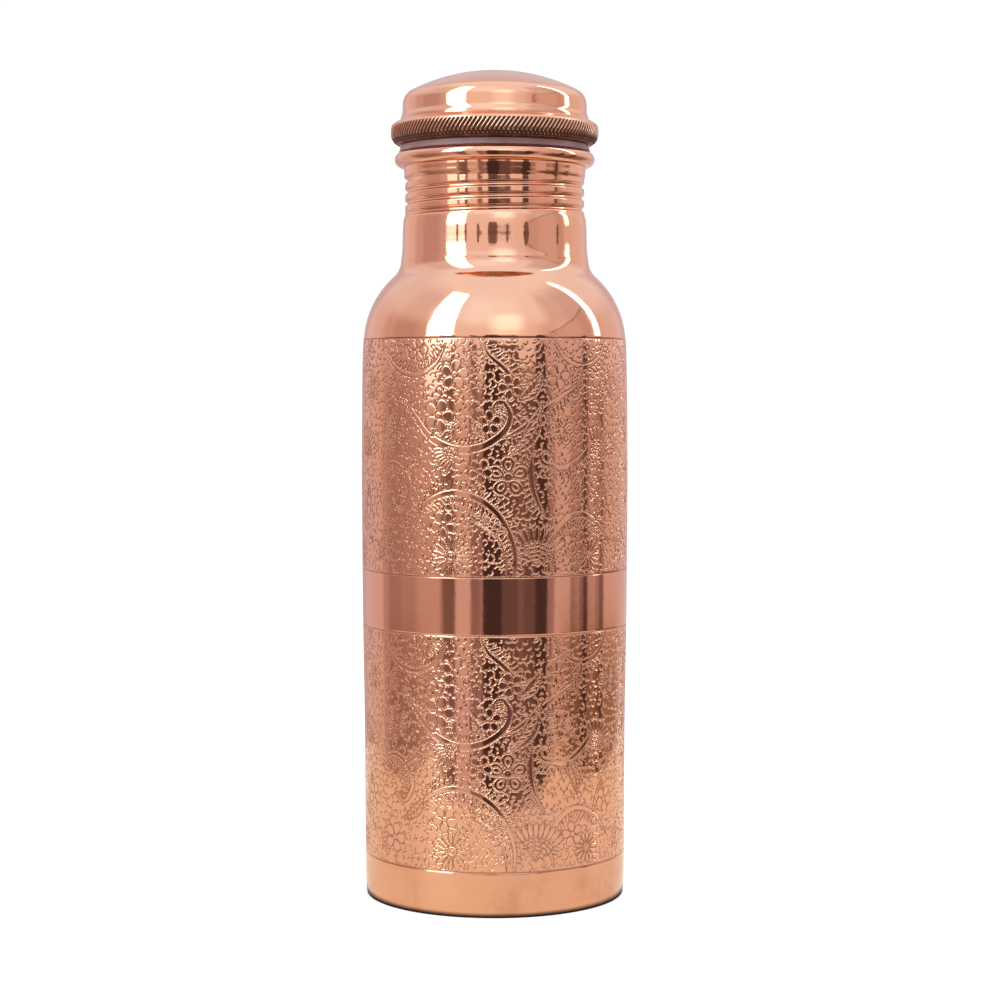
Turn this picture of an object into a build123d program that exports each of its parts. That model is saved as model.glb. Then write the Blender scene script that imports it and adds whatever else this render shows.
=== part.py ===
from build123d import *
import os
from math import acos, cos, degrees, hypot, radians, sin, sqrt

# A screw-capped water bottle spun from copper sheet, upright on its base.
# Millimetres, +Z up; the origin is the centre of the face that the bottle stands on.

# ---------------------------------------------------------------- driving dimensions
sheet = 0.7                      # copper sheet of the shell, base and dome

# body: a foot, a very slightly swelling wall, a round shoulder and a neck
foot_radius = 35.6
foot_height = 8.0
foot_corner = 0.4
belly_stations = [               # outside radius, height, going up the wall
    (35.75, 34.4),
    (36.10, 66.4),
    (36.40, 99.4),
    (36.47, 117.4),
    (36.24, 139.4),
]
shoulder_centre = (11.06, 150.46)
shoulder_radius = 24.76
shoulder_start = 4.5             # degrees above the horizontal where the wall joins the shoulder
neck_root_radius = 25.59
neck_root_fillet = 6.2
neck_waist_stations = [          # outside radius, height, from the root up to the thread
    (25.25, 177.4),
    (25.08, 180.9),
    (24.86, 183.9),
]

# rolled thread, one start, right hand
thread_pitch = 3.1
thread_bottom = 186.84           # height of the lower end of the thread's centre line
thread_top = 195.11
thread_start_angle = -30.0       # degrees from +X where the lower end lies
thread_land_radius = 24.45       # outside of the neck between the grooves
thread_centre_radius = 24.65     # radius of the helix that the round tool follows
groove_tool_radius = 0.8
thread_gap = 0.25                # between the neck's ridge and the plug's groove

# rim: the neck's edge curled outwards into a bead
collar_radius = 24.8
collar_bottom = 197.0
bead_centre = (25.2, 200.6)
bead_radius = 2.05
bead_end_angle = -95.0           # where the curl ends, beside the neck

# base
recess_depth = 3.3
braze_size = 0.5

# lid
gasket_gap = 0.07                # working clearance above and below the gasket
gasket_thickness = 1.66
gasket_inner_radius = 23.75
gasket_outer_radius = 25.9
plug_radius = 23.45
plug_bore_radius = 22.2
plug_bottom = 185.4
plug_floor = 1.0
ring_radius = 28.28
ring_wall = 0.8
ring_height = 6.75
ring_lip = 1.75                  # thickness of the ring's lower lip
flange_radius = 27.3
dome_wall_radius = 25.08
dome_corner = 4.0
dome_crown_radius = 50.39
dome_crown_centre = 174.28
skirt_radius = 25.65
flare_radius = 3.0

# ---------------------------------------------------------------- worked out
shoulder_x, shoulder_z = shoulder_centre
root_x = neck_root_radius + neck_root_fillet
root_z = shoulder_z + sqrt((shoulder_radius + neck_root_fillet) ** 2 - (root_x - shoulder_x) ** 2)
blend_angle = degrees(acos((root_x - shoulder_x) / (shoulder_radius + neck_root_fillet)))
thread_blend = 0.9               # height over which the neck steps to the thread's land
land_bottom = thread_bottom - thread_blend
land_top = thread_top + thread_blend / 2
rim_x, rim_z = bead_centre
mouth_radius = collar_radius - sheet
roll_radius = rim_x - mouth_radius
roll_z = rim_z + bead_radius - roll_radius
rim_top = rim_z + bead_radius
gasket_bottom = rim_top + gasket_gap
ring_bottom = gasket_bottom + gasket_thickness + gasket_gap
ring_top = ring_bottom + ring_height
stack_bottom = ring_bottom + ring_lip
stack_middle = stack_bottom + sheet
stack_top = stack_middle + sheet


def polar(centre, radius, angle):
    """A point of the profile at an angle in degrees from a centre."""
    return (centre[0] + radius * cos(radians(angle)), centre[1] + radius * sin(radians(angle)))


def trace_shell(inset):
    """Draws one side of the shell's section from the foot to the collar."""
    wall_top = polar(shoulder_centre, shoulder_radius - inset, shoulder_start)
    wall_lean = (-sin(radians(shoulder_start)), cos(radians(shoulder_start)))
    stations = [(radius - inset, height) for radius, height in belly_stations]
    Spline((foot_radius - inset, foot_height), *stations, wall_top, tangents=[(0, 1), wall_lean])
    CenterArc(shoulder_centre, shoulder_radius - inset, shoulder_start, blend_angle - shoulder_start)
    CenterArc((root_x, root_z), neck_root_fillet + inset, 180 + blend_angle, -blend_angle)
    waist = [(radius - inset, height) for radius, height in neck_waist_stations]
    land = thread_land_radius - inset
    Spline((neck_root_radius - inset, root_z), *waist, (land, land_bottom), tangents=[(0, 1), (0, 1)])
    Line((land, land_bottom), (land, land_top))
    Spline((land, land_top), (collar_radius - inset, collar_bottom), tangents=[(0, 1), (0, 1)])


def thread_rod(rod_radius, below=0.0, reach=thread_centre_radius + groove_tool_radius + sheet):
    """A round-ended rod along the thread's helix, started that many turns below the thread.

    The rod's section is cut off at the radius reach, so that fat rods keep clear of their next turn.
    """
    start = thread_start_angle - 360 * below
    height = thread_top - thread_bottom + thread_pitch * below
    outwards = Vector(cos(radians(start)), sin(radians(start)), 0)
    frame = Plane(origin=(0, 0, thread_top - height), x_dir=outwards, z_dir=(0, 0, 1))
    with BuildPart() as rod:
        with BuildLine(frame) as path:
            Helix(thread_pitch, height, thread_centre_radius)
        helix = path.edges()[0]
        with BuildSketch(Plane(origin=helix @ 0, x_dir=outwards, z_dir=helix % 0)):
            Circle(rod_radius)
            with Locations((reach - thread_centre_radius, 0)):
                side = 4 * rod_radius
                Rectangle(side, side, align=(Align.MAX, Align.CENTER), mode=Mode.INTERSECT)
        sweep(path=path.line, is_frenet=True)
        with Locations(helix @ 0, helix @ 1):
            Sphere(rod_radius)
    return rod.part


# ---------------------------------------------------------------- body
neck_groove = thread_rod(groove_tool_radius)

# the ridge that the rolled groove raises inside the neck
with BuildPart() as neck_ridge:
    add(thread_rod(groove_tool_radius + sheet))
    with Locations((0, 0, (thread_bottom + thread_top) / 2)):
        Cylinder(thread_land_radius - sheet / 2, 4 * thread_pitch + sheet, mode=Mode.INTERSECT)

with BuildPart() as body_shell:
    with BuildSketch(Plane.XZ):
        with BuildLine():
            # outside
            CenterArc((foot_radius - foot_corner, foot_corner), foot_corner, -90, 90)
            Line((foot_radius, foot_corner), (foot_radius, foot_height))
            trace_shell(0)
            Line((collar_radius, collar_bottom), (collar_radius, roll_z))
            # the curl, inner face then outer face
            CenterArc((rim_x, roll_z), roll_radius - sheet, 180, -90)
            CenterArc(bead_centre, bead_radius - sheet, 90, bead_end_angle - 90)
            Line(
                polar(bead_centre, bead_radius - sheet, bead_end_angle),
                polar(bead_centre, bead_radius, bead_end_angle),
            )
            CenterArc(bead_centre, bead_radius, bead_end_angle, 90 - bead_end_angle)
            CenterArc((rim_x, roll_z), roll_radius, 90, 90)
            Line((mouth_radius, roll_z), (mouth_radius, collar_bottom))
            # inside
            trace_shell(sheet)
            Line((foot_radius - sheet, foot_height), (foot_radius - sheet, 0))
            Line((foot_radius - sheet, 0), (foot_radius - foot_corner, 0))
        make_face()
    revolve(axis=Axis.Z)
    add(neck_ridge.part)
    add(neck_groove, mode=Mode.SUBTRACT)
body_shell.part.label = "body_shell"

# ---------------------------------------------------------------- base
flange_outside = foot_radius - sheet
flange_inside = flange_outside - sheet
plate_top = recess_depth + sheet
press_radius = 1.0               # inside radius of the pressed corner

with BuildPart() as base_plate:
    with BuildSketch(Plane.XZ) as plate_section:
        with BuildLine():
            Polyline(
                (0, recess_depth),
                (flange_inside, recess_depth),
                (flange_inside, 0),
                (flange_outside - braze_size, 0),
                (flange_outside, braze_size),
                (flange_outside, plate_top),
                (0, plate_top),
                close=True,
            )
        make_face()
        corners = plate_section.vertices().sort_by(Axis.X)
        inner_corner = corners.filter_by_position(Axis.X, flange_inside - 0.01, flange_inside + 0.01)
        fillet(inner_corner.sort_by(Axis.Y)[-1], press_radius)
        outer_corner = plate_section.vertices().group_by(Axis.X)[-1].sort_by(Axis.Y)[-1]
        fillet(outer_corner, press_radius + sheet)
    revolve(axis=Axis.Z)
base_plate.part.label = "base_plate"

# a fillet of brazing metal in the seam between the plate's flange and the wall
braze_bottom = 0.08
with BuildPart() as base_braze_bead:
    with BuildSketch(Plane.XZ):
        with BuildLine():
            Polyline(
                (flange_outside - braze_size + braze_bottom, braze_bottom),
                (flange_outside, braze_bottom),
                (flange_outside, braze_size),
                close=True,
            )
        make_face()
    revolve(axis=Axis.Z)
base_braze_bead.part.label = "base_braze_bead"

# ---------------------------------------------------------------- gasket
gasket_edge = 0.3
with BuildPart() as sealing_gasket:
    with BuildSketch(Plane.XZ) as gasket_section:
        gasket_middle = (gasket_inner_radius + gasket_outer_radius) / 2
        with Locations((gasket_middle, gasket_bottom + gasket_thickness / 2)):
            Rectangle(gasket_outer_radius - gasket_inner_radius, gasket_thickness)
        fillet(gasket_section.vertices(), gasket_edge)
    revolve(axis=Axis.Z)
sealing_gasket.part.label = "sealing_gasket"

# ---------------------------------------------------------------- lid
# The dome: crown, corner and wall, flared to a skirt that ends in a flange inside the ring.
corner_x = dome_wall_radius - dome_corner
corner_z = dome_crown_centre + sqrt((dome_crown_radius - dome_corner) ** 2 - corner_x ** 2)
crown_angle = degrees(acos(corner_x / (dome_crown_radius - dome_corner)))
dome_apex = dome_crown_centre + dome_crown_radius
flare_step = skirt_radius - dome_wall_radius
flare_angle = degrees(acos(1 - flare_step / (2 * flare_radius)))
flare_bottom = ring_top
flare_top = flare_bottom + 2 * flare_radius * sin(radians(flare_angle))


def trace_dome(inset):
    """Draws one side of the dome's section from the crown down to the skirt."""
    CenterArc((0, dome_crown_centre), dome_crown_radius - inset, 90, crown_angle - 90)
    CenterArc((corner_x, corner_z), dome_corner - inset, crown_angle, -crown_angle)
    Line((dome_wall_radius - inset, corner_z), (dome_wall_radius - inset, flare_top))
    CenterArc((dome_wall_radius + flare_radius, flare_top), flare_radius + inset, 180, flare_angle)
    CenterArc((skirt_radius - flare_radius, flare_bottom), flare_radius - inset, flare_angle, -flare_angle)


with BuildPart() as lid_dome:
    with BuildSketch(Plane.XZ):
        with BuildLine():
            trace_dome(0)
            Polyline(
                (skirt_radius, flare_bottom),
                (skirt_radius, stack_top),
                (flange_radius, stack_top),
                (flange_radius, stack_middle),
                (skirt_radius - sheet, stack_middle),
                (skirt_radius - sheet, flare_bottom),
            )
            trace_dome(sheet)
            Line((0, dome_apex - sheet), (0, dome_apex))
        make_face()
    revolve(axis=Axis.Z)
lid_dome.part.label = "lid_dome"

# The ring that clamps the two flanges: a deep lower lip, a full belt, and a turned-in top edge.
belt_bottom = ring_bottom + 2.85
belt_top = ring_top - 2.5
belt_inside = ring_radius - ring_wall
lip_radius = plug_radius + 0.15
lip_corner = 25.8

with BuildPart() as clinch_ring:
    with BuildSketch(Plane.XZ):
        with BuildLine():
            Line((lip_radius, ring_bottom), (lip_corner, ring_bottom))
            ThreePointArc(
                (lip_corner, ring_bottom),
                (ring_radius - 0.8, ring_bottom + 1.05),
                (ring_radius, belt_bottom),
            )
            Line((ring_radius, belt_bottom), (ring_radius, belt_top))
            ThreePointArc(
                (ring_radius, belt_top),
                (ring_radius - 0.78, ring_top - 1.1),
                (skirt_radius, ring_top),
            )
            Line((skirt_radius, ring_top), (skirt_radius, ring_top - ring_wall))
            ThreePointArc(
                (skirt_radius, ring_top - ring_wall),
                (belt_inside - 0.6, ring_top - ring_wall - 0.8),
                (belt_inside, belt_top),
            )
            Polyline(
                (belt_inside, belt_top),
                (belt_inside, stack_bottom),
                (lip_radius, stack_bottom),
                (lip_radius, ring_bottom),
            )
        make_face()
    revolve(axis=Axis.Z)
clinch_ring.part.label = "clinch_ring"

# The plug: a closed cup that hangs from its own flange and carries the male thread.
nose_chamfer = 0.8
groove_overshoot = 0.15          # how far the groove's cutter stands proud of the plug
turns_to_nose = 1.0              # the groove runs on down and out through the plug's nose
plug_groove = thread_rod(
    groove_tool_radius + sheet + thread_gap,
    below=turns_to_nose,
    reach=plug_radius + groove_overshoot,
)

with BuildPart() as threaded_plug:
    with BuildSketch(Plane.XZ):
        with BuildLine():
            Polyline(
                (0, plug_bottom),
                (plug_radius - nose_chamfer, plug_bottom),
                (plug_radius, plug_bottom + nose_chamfer),
                (plug_radius, stack_bottom),
                (flange_radius, stack_bottom),
                (flange_radius, stack_middle),
                (plug_bore_radius, stack_middle),
                (plug_bore_radius, plug_bottom + plug_floor),
                (0, plug_bottom + plug_floor),
                close=True,
            )
        make_face()
    revolve(axis=Axis.Z)
    add(plug_groove, mode=Mode.SUBTRACT)
threaded_plug.part.label = "threaded_plug"

# ---------------------------------------------------------------- written parts
os.makedirs("parts", exist_ok=True)
export_step(body_shell.part, "parts/body_shell.step")
export_step(base_plate.part, "parts/base_plate.step")
export_step(base_braze_bead.part, "parts/base_braze_bead.step")
export_step(sealing_gasket.part, "parts/sealing_gasket.step")
export_step(lid_dome.part, "parts/lid_dome.step")
export_step(clinch_ring.part, "parts/clinch_ring.step")
export_step(threaded_plug.part, "parts/threaded_plug.step")
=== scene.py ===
from math import atan2, cos, degrees, pi, radians, sin, sqrt

import bpy
import numpy as np
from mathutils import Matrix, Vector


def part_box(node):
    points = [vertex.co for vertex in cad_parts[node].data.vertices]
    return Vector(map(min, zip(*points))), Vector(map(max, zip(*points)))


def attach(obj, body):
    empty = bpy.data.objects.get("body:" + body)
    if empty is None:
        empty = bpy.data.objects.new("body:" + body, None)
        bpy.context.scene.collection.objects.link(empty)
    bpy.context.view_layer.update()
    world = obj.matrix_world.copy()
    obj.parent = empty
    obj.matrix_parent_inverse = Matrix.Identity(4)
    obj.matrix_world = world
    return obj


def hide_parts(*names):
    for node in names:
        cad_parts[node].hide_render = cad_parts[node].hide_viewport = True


# An etched copper water bottle with a knurled screw lid, standing on a pale table.
# The bottle's lengths are in millimetres up to the point where a mesh is made; the stage's are in metres.

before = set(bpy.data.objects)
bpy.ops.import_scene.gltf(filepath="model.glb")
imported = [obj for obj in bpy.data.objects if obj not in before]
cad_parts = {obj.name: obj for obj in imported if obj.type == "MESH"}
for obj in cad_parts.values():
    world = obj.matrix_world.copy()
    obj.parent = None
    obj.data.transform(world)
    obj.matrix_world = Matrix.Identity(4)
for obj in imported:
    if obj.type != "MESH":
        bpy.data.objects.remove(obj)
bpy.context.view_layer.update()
MM = 0.001
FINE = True

# ------------------------------------------------------------------ sizes, mm
SHEET = 0.7                                  # thickness of the copper
RIM_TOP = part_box("body_shell")[1].z / MM
RING_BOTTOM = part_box("clinch_ring")[0].z / MM
RING_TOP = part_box("clinch_ring")[1].z / MM
RING_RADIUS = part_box("clinch_ring")[1].x / MM
LID_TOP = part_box("lid_dome")[1].z / MM
GASKET_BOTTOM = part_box("sealing_gasket")[0].z / MM
GASKET_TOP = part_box("sealing_gasket")[1].z / MM

WALL = [                                     # height and outside radius, from the foot to the shoulder
    (0.0, 34.97), (0.2, 35.10), (0.5, 35.24), (0.9, 35.34), (1.5, 35.42), (4.0, 35.57), (8.4, 35.66),
    (17.4, 35.70), (29.4, 35.74), (43.4, 35.80), (54.4, 35.91), (66.4, 36.10), (79.4, 36.26),
    (91.4, 36.34), (102.4, 36.40), (113.4, 36.44), (121.4, 36.42), (131.4, 36.33), (141.4, 36.20),
    (148.4, 36.05), (150.9, 35.95), (152.5, 35.80),
]
SEAM = 34.9                                  # radius of the wall's inside where the base plate joins it
SHOULDER = (11.06, 150.46, 24.76)            # centre radius, centre height and radius of the arc
ROOT = (31.79, 173.46, 6.20)                 # the hollow fillet where the neck begins
NECK = [                                     # height and outside radius
    (173.46, 25.59), (174.8, 25.36), (176.4, 25.23), (178.4, 25.16), (180.4, 25.12), (182.4, 25.06),
    (183.7, 24.95), (184.8, 24.76), (185.6, 24.52), (186.2, 24.45), (186.7, 24.45), (194.4, 24.45),
    (194.9, 24.45), (195.4, 24.50), (195.75, 24.64), (196.1, 24.69), (197.0, 24.735), (198.0, 24.80),
]
COLLAR = 24.80                               # outside radius of the neck under the curled rim
BEAD = (25.2, 2.05)                          # centre radius and section radius of the curled rim
# the rolled thread; start is in degrees, run_in in turns before it, half is half the groove's width
THREAD = dict(pitch=3.1, bottom=186.84, top=195.11, start=-30.0, run_in=0.36, depth=0.62, half=0.85)

TILE = (76.4, 62.25)                         # the ornament's repeat round the bottle, and its height
REPEATS = 3
BAND_FEET = (12.0, 89.5)                     # height of each etched band's lower edge
GRAIN = 0.1                                  # cell of the drawn ornament
GRID = 0.2 if FINE else 0.4                  # spacing of the etched wall's vertices
LINE = 0.22                                  # width of an etched line
ETCH = 0.088                                 # its depth
FAINT = 0.36                                 # share of a cell that a line has to cover to be etched there
SOLID = 0.75                                 # share from which it is etched to the full depth
CRISP_STEP = 0.06                            # change of etching across a face that leaves the face flat


# ------------------------------------------------------------------ meshes of rings
def make_mesh(
    name, rings, slot, body, layers=None, crisp=None, cap_first=False, cap_last=False, closed=False
):
    """A skin over rings of points. Each ring is an (n, 3) array in mm; a ring may have three times
    as many points as its neighbour. layers holds one value for each point, under a name; the faces
    across which the layer named crisp changes are left flat, so that their edges show."""
    counts = [len(ring) for ring in rings]
    starts = np.concatenate([[0], np.cumsum(counts)])
    points = np.concatenate(rings) * MM
    faces = []
    pairs = list(zip(range(len(rings) - 1), range(1, len(rings))))
    if closed:
        pairs.append((len(rings) - 1, 0))
    for a, b in pairs:
        n = min(counts[a], counts[b])
        i, j = np.arange(n), (np.arange(n) + 1) % n
        low, high = starts[a], starts[b]
        if counts[a] == counts[b]:
            faces.append(np.stack([low + i, low + j, high + j, high + i], 1))
        elif counts[a] > counts[b]:
            k = counts[a] // n
            bottom = [low + (k * i + step) % counts[a] for step in range(k + 1)]
            faces.append(np.stack([*bottom, high + j, high + i], 1))
        else:
            k = counts[b] // n
            top = [high + (k * i + step) % counts[b] for step in range(k, -1, -1)]
            faces.append(np.stack([low + i, low + j, *top], 1))
    if cap_first:
        faces.append(np.arange(counts[0])[::-1][None, :])
    if cap_last:
        faces.append((starts[-2] + np.arange(counts[-1]))[None, :])
    mesh = bpy.data.meshes.new(name)
    totals = np.concatenate([np.full(len(f), f.shape[1]) for f in faces])
    corners = np.concatenate([f.ravel() for f in faces])
    mesh.vertices.add(len(points))
    mesh.vertices.foreach_set("co", points.astype(np.float32).ravel())
    mesh.loops.add(len(corners))
    mesh.loops.foreach_set("vertex_index", corners.astype(np.int32))
    mesh.polygons.add(len(totals))
    mesh.polygons.foreach_set("loop_start", np.concatenate([[0], np.cumsum(totals)[:-1]]).astype(np.int32))
    mesh.polygons.foreach_set("loop_total", totals.astype(np.int32))
    soft = np.ones(len(totals), bool)
    if crisp:
        value = np.concatenate(layers[crisp])
        soft = np.concatenate([np.ptp(value[f], axis=1) < CRISP_STEP for f in faces])
    mesh.polygons.foreach_set("use_smooth", soft)
    for layer, values in (layers or {}).items():
        attribute = mesh.attributes.new(layer, "FLOAT", "POINT")
        attribute.data.foreach_set("value", np.concatenate(values).astype(np.float32))
    mesh.update(calc_edges=True)
    piece = bpy.data.objects.new(name, mesh)
    bpy.context.scene.collection.objects.link(piece)
    mesh.materials.append(MATERIALS[slot])
    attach(piece, body)
    return piece


def ring(radius, height, count, first=-pi / 2):
    """One ring of points; radius may be a number or one value for each point."""
    angle = first + np.arange(count) * 2 * pi / count
    radius = np.broadcast_to(np.asarray(radius, float), count)
    height = np.broadcast_to(np.asarray(height, float), count)
    return np.stack([radius * np.cos(angle), radius * np.sin(angle), height], 1)


def arc(x, z, radius, start, end, steps):
    """Points of a section's arc, angles in degrees from the outward direction."""
    angle = np.radians(np.linspace(start, end, steps))
    return np.stack([x + radius * np.cos(angle), z + radius * np.sin(angle)], 1)


def eased(stations, step):
    """A smooth curve through (height, radius) stations, as section points (radius, height)."""
    z, r = np.array(stations, float).T
    slope = np.gradient(r, z)
    heights = np.linspace(z[0], z[-1], max(2, round((z[-1] - z[0]) / step) + 1))
    k = np.clip(np.searchsorted(z, heights, side="right") - 1, 0, len(z) - 2)
    h = z[k + 1] - z[k]
    t = (heights - z[k]) / h
    radii = (
        (2 * t**3 - 3 * t**2 + 1) * r[k] + (t**3 - 2 * t**2 + t) * h * slope[k]
        + (-2 * t**3 + 3 * t**2) * r[k + 1] + (t**3 - t**2) * h * slope[k + 1]
    )
    return np.stack([radii, heights], 1)


def revolve(name, section, columns, slot, body, **options):
    """A turned piece from a list of section points (radius, height)."""
    return make_mesh(name, [ring(r, z, columns) for r, z in section], slot, body, **options)


# ------------------------------------------------------------------ etched ornament
class Stencil:
    """Line ornament on a tile that repeats sideways: u runs round the bottle and v up it."""

    def __init__(self):
        self.columns = round(TILE[0] / GRAIN)
        self.rows = round(TILE[1] / GRAIN)
        self.etch = np.zeros((self.rows, self.columns), np.float32)

    def window(self, points, reach):
        """The cells within reach of the points: their indices and their places."""
        low = np.floor((points.min(0) - reach) / GRAIN).astype(int)
        high = np.ceil((points.max(0) + reach) / GRAIN).astype(int)
        rows = np.arange(max(low[1], 0), min(high[1], self.rows - 1) + 1)
        columns = np.arange(low[0], high[0] + 1)
        u, v = np.meshgrid((columns + 0.5) * GRAIN, (rows + 0.5) * GRAIN)
        return np.ix_(rows, columns % self.columns), u.astype(np.float32), v.astype(np.float32)

    def lay(self, cells, depth):
        """Etches a line where depth, the distance inside a shape's edge, is near nothing, and clears
        the inside."""
        clear = np.clip(depth / GRAIN + 0.5, 0, 1)
        line = np.clip((LINE / 2 - np.abs(depth)) / GRAIN + 0.5, 0, 1)
        self.etch[cells] = np.maximum(self.etch[cells] * (1 - clear), line)

    def stroke(self, points, half_width=0.0):
        """A line along points, or a smooth stem between two lines where it has a width, slim at its ends."""
        points = np.asarray(points, float)
        steps = np.hypot(*np.diff(points, axis=0).T)
        along = np.concatenate([[0], np.cumsum(steps)]) / max(steps.sum(), 1e-9)
        halves = half_width * (0.15 + 0.85 * np.abs(np.sin(pi * along)) ** 0.7)
        cells, u, v = self.window(points, half_width + 2 * LINE)
        if not u.size:
            return
        depth = np.full(u.shape, -1e3, np.float32)
        for p, q, a, b in zip(points[:-1], points[1:], halves[:-1], halves[1:]):
            d = q - p
            t = np.clip(((u - p[0]) * d[0] + (v - p[1]) * d[1]) / max(d @ d, 1e-9), 0, 1)
            away = np.hypot(u - p[0] - t * d[0], v - p[1] - t * d[1])
            np.maximum(depth, a + (b - a) * t - away, out=depth)
        if half_width > 0:
            self.lay(cells, depth)
        else:
            line = np.clip((LINE / 2 + depth) / GRAIN + 0.5, 0, 1)
            self.etch[cells] = np.maximum(self.etch[cells], line)

    def shape(self, points):
        """A closed outline with a smooth inside."""
        points = np.asarray(points, float)
        cells, u, v = self.window(points, 2 * LINE)
        if not u.size:
            return
        away = np.full(u.shape, 1e3, np.float32)
        inside = np.zeros(u.shape, bool)
        for p, q in zip(points, np.roll(points, -1, axis=0)):
            d = q - p
            t = np.clip(((u - p[0]) * d[0] + (v - p[1]) * d[1]) / max(d @ d, 1e-9), 0, 1)
            np.minimum(away, np.hypot(u - p[0] - t * d[0], v - p[1] - t * d[1]), out=away)
            if q[1] != p[1]:
                crossing = (v < p[1]) != (v < q[1])
                inside ^= crossing & (u < p[0] + (v - p[1]) * d[0] / d[1])
        self.lay(cells, np.where(inside, away, -away))


def polar(radius, angle):
    return np.array([radius * cos(radians(angle)), radius * sin(radians(angle))])


def smooth(points, per_span=10):
    """A smooth path through given points."""
    points = np.asarray(points, float)
    ends = [2 * points[0] - points[1], *points, 2 * points[-1] - points[-2]]
    path = []
    for a, b, c, d in zip(ends, ends[1:], ends[2:], ends[3:]):
        for t in np.arange(per_span) / per_span:
            bend = 2 * a - 5 * b + 4 * c - d
            twist = 3 * b - a - 3 * c + d
            path.append(0.5 * (2 * b + (c - a) * t + bend * t * t + twist * t**3))
    return np.array([*path, points[-1]])


def curl(centre, radius, start, sweep, end_radius, steps=28):
    """A spiral from radius to end_radius, angles in degrees."""
    t = np.linspace(0, 1, steps)
    angle = np.radians(start + sweep * t)
    r = radius + (end_radius - radius) * t
    return np.stack([centre[0] + r * np.cos(angle), centre[1] + r * np.sin(angle)], 1)


def turned(points, centre, angle):
    """Points turned by an angle in degrees and moved to a centre."""
    c, s = cos(radians(angle)), sin(radians(angle))
    return np.asarray(points, float) @ np.array([[c, s], [-s, c]]) + np.asarray(centre, float)


def drop(length, width, point=0.35, steps=26):
    """A petal's outline from its pointed root at the origin to its round end along +u."""
    t = np.linspace(0, 2 * pi, steps, endpoint=False)
    u = length * (0.5 - 0.5 * np.cos(t))
    v = width / 2 * np.sin(t) * np.sin(t / 2) ** (2 * point)
    return np.stack([u, v], 1)


def leaf(art, root, tip, bulge, veins=7, bend=0.0):
    """A pointed leaf with a midrib and slanting veins."""
    root, tip = np.asarray(root, float), np.asarray(tip, float)
    along = tip - root
    across = np.array([-along[1], along[0]])
    t = np.linspace(0, 1, 22)[:, None]
    rib = root + along * t + across * bend * np.sin(pi * t)
    swell = bulge * np.sin(pi * t) ** 0.8 * (1 - 0.35 * t)
    side = across / np.hypot(*across)
    art.shape(np.concatenate([rib + side * swell, (rib - side * swell)[::-1][1:-1]]))
    art.stroke(rib[1:-2])
    for k in range(veins):
        at = (k + 1.2) / (veins + 1.5)
        start = root + along * at + across * bend * sin(pi * at)
        width = bulge * sin(pi * at) ** 0.8 * (1 - 0.35 * at)
        for way in (-1, 1):
            end = start + along / np.hypot(*along) * width * 0.9 + side * way * width * 0.78
            art.stroke([start, end])


def flower(art, centre, radius, petals, turn, inner=False):
    """Round petals round a ringed eye."""
    width = 2 * pi * radius * 0.66 / petals
    for k in range(petals):
        angle = turn + 360 * k / petals
        art.shape(turned(drop(radius * 0.86, width), centre, angle) + polar(radius * 0.14, angle))
        if inner:
            art.shape(turned(drop(radius * 0.42, width * 0.4), centre, angle) + polar(radius * 0.36, angle))
    art.shape(curl(centre, radius * 0.22, 0, 360, radius * 0.22, 16)[:-1])
    art.stroke([centre, (centre[0] + 0.01, centre[1])])


def daisy(art, centre, radius, rays, turn=0):
    """Long narrow rays round a ringed eye."""
    width = 2 * pi * radius / rays * 0.72
    for k in range(rays):
        angle = turn + 360 * k / rays
        art.shape(turned(drop(radius * 0.78, width, 0.6), centre, angle) + polar(radius * 0.22, angle))
    for size in (0.26, 0.12):
        art.shape(curl(centre, radius * size, 0, 360, radius * size, 16)[:-1])


def shell(art, centre, radius, facing, spread, rays, rows=5):
    """A shell: rows of scales at its foot and a crown of rays."""
    centre = np.asarray(centre, float)
    start = facing - spread / 2
    rim = curl(centre, radius, start, spread, radius, 24)
    art.shape(np.concatenate([rim, [centre]]))
    inner = radius * 0.6
    pitch = spread / rays
    for k in range(rays):
        angle = start + (k + 0.5) * pitch
        width = 2 * pi * radius * pitch / 360 * 0.94
        art.shape(turned(drop(radius * 1.08 - inner, width, 0.2), centre + polar(inner, angle), angle))
    for row in range(rows, 0, -1):
        r = inner * row / rows
        count = max(2, round(rays * 0.62 * r / inner))
        scale = r * radians(spread) / count * 0.54
        for k in range(count):
            angle = start + spread * (k + (0.5 if row % 2 else 0.2)) / count
            art.shape(curl(centre + polar(r - 0.5, angle), scale, angle - 95, 190, scale, 12))


def fringe(art, path, side, length, step, lean=38):
    """Barbs along one side of a path, like a feather's."""
    path = np.asarray(path, float)
    steps = np.hypot(*np.diff(path, axis=0).T)
    along = np.concatenate([[0], np.cumsum(steps)])
    for s in np.arange(step, along[-1] - step, step):
        here = np.array([np.interp(s, along, path[:, 0]), np.interp(s, along, path[:, 1])])
        ahead = np.array([np.interp(s + 0.3, along, path[:, 0]), np.interp(s + 0.3, along, path[:, 1])])
        heading = degrees(atan2(ahead[1] - here[1], ahead[0] - here[0]))
        reach = length * min(1, 2.2 * sin(pi * s / along[-1]))
        barb = [(0.2, 0), (0.55 * reach, 0.05 * side * reach), (reach, 0.24 * side * reach)]
        art.stroke(turned(smooth(barb, 4), here, heading + side * (90 - lean)))


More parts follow.
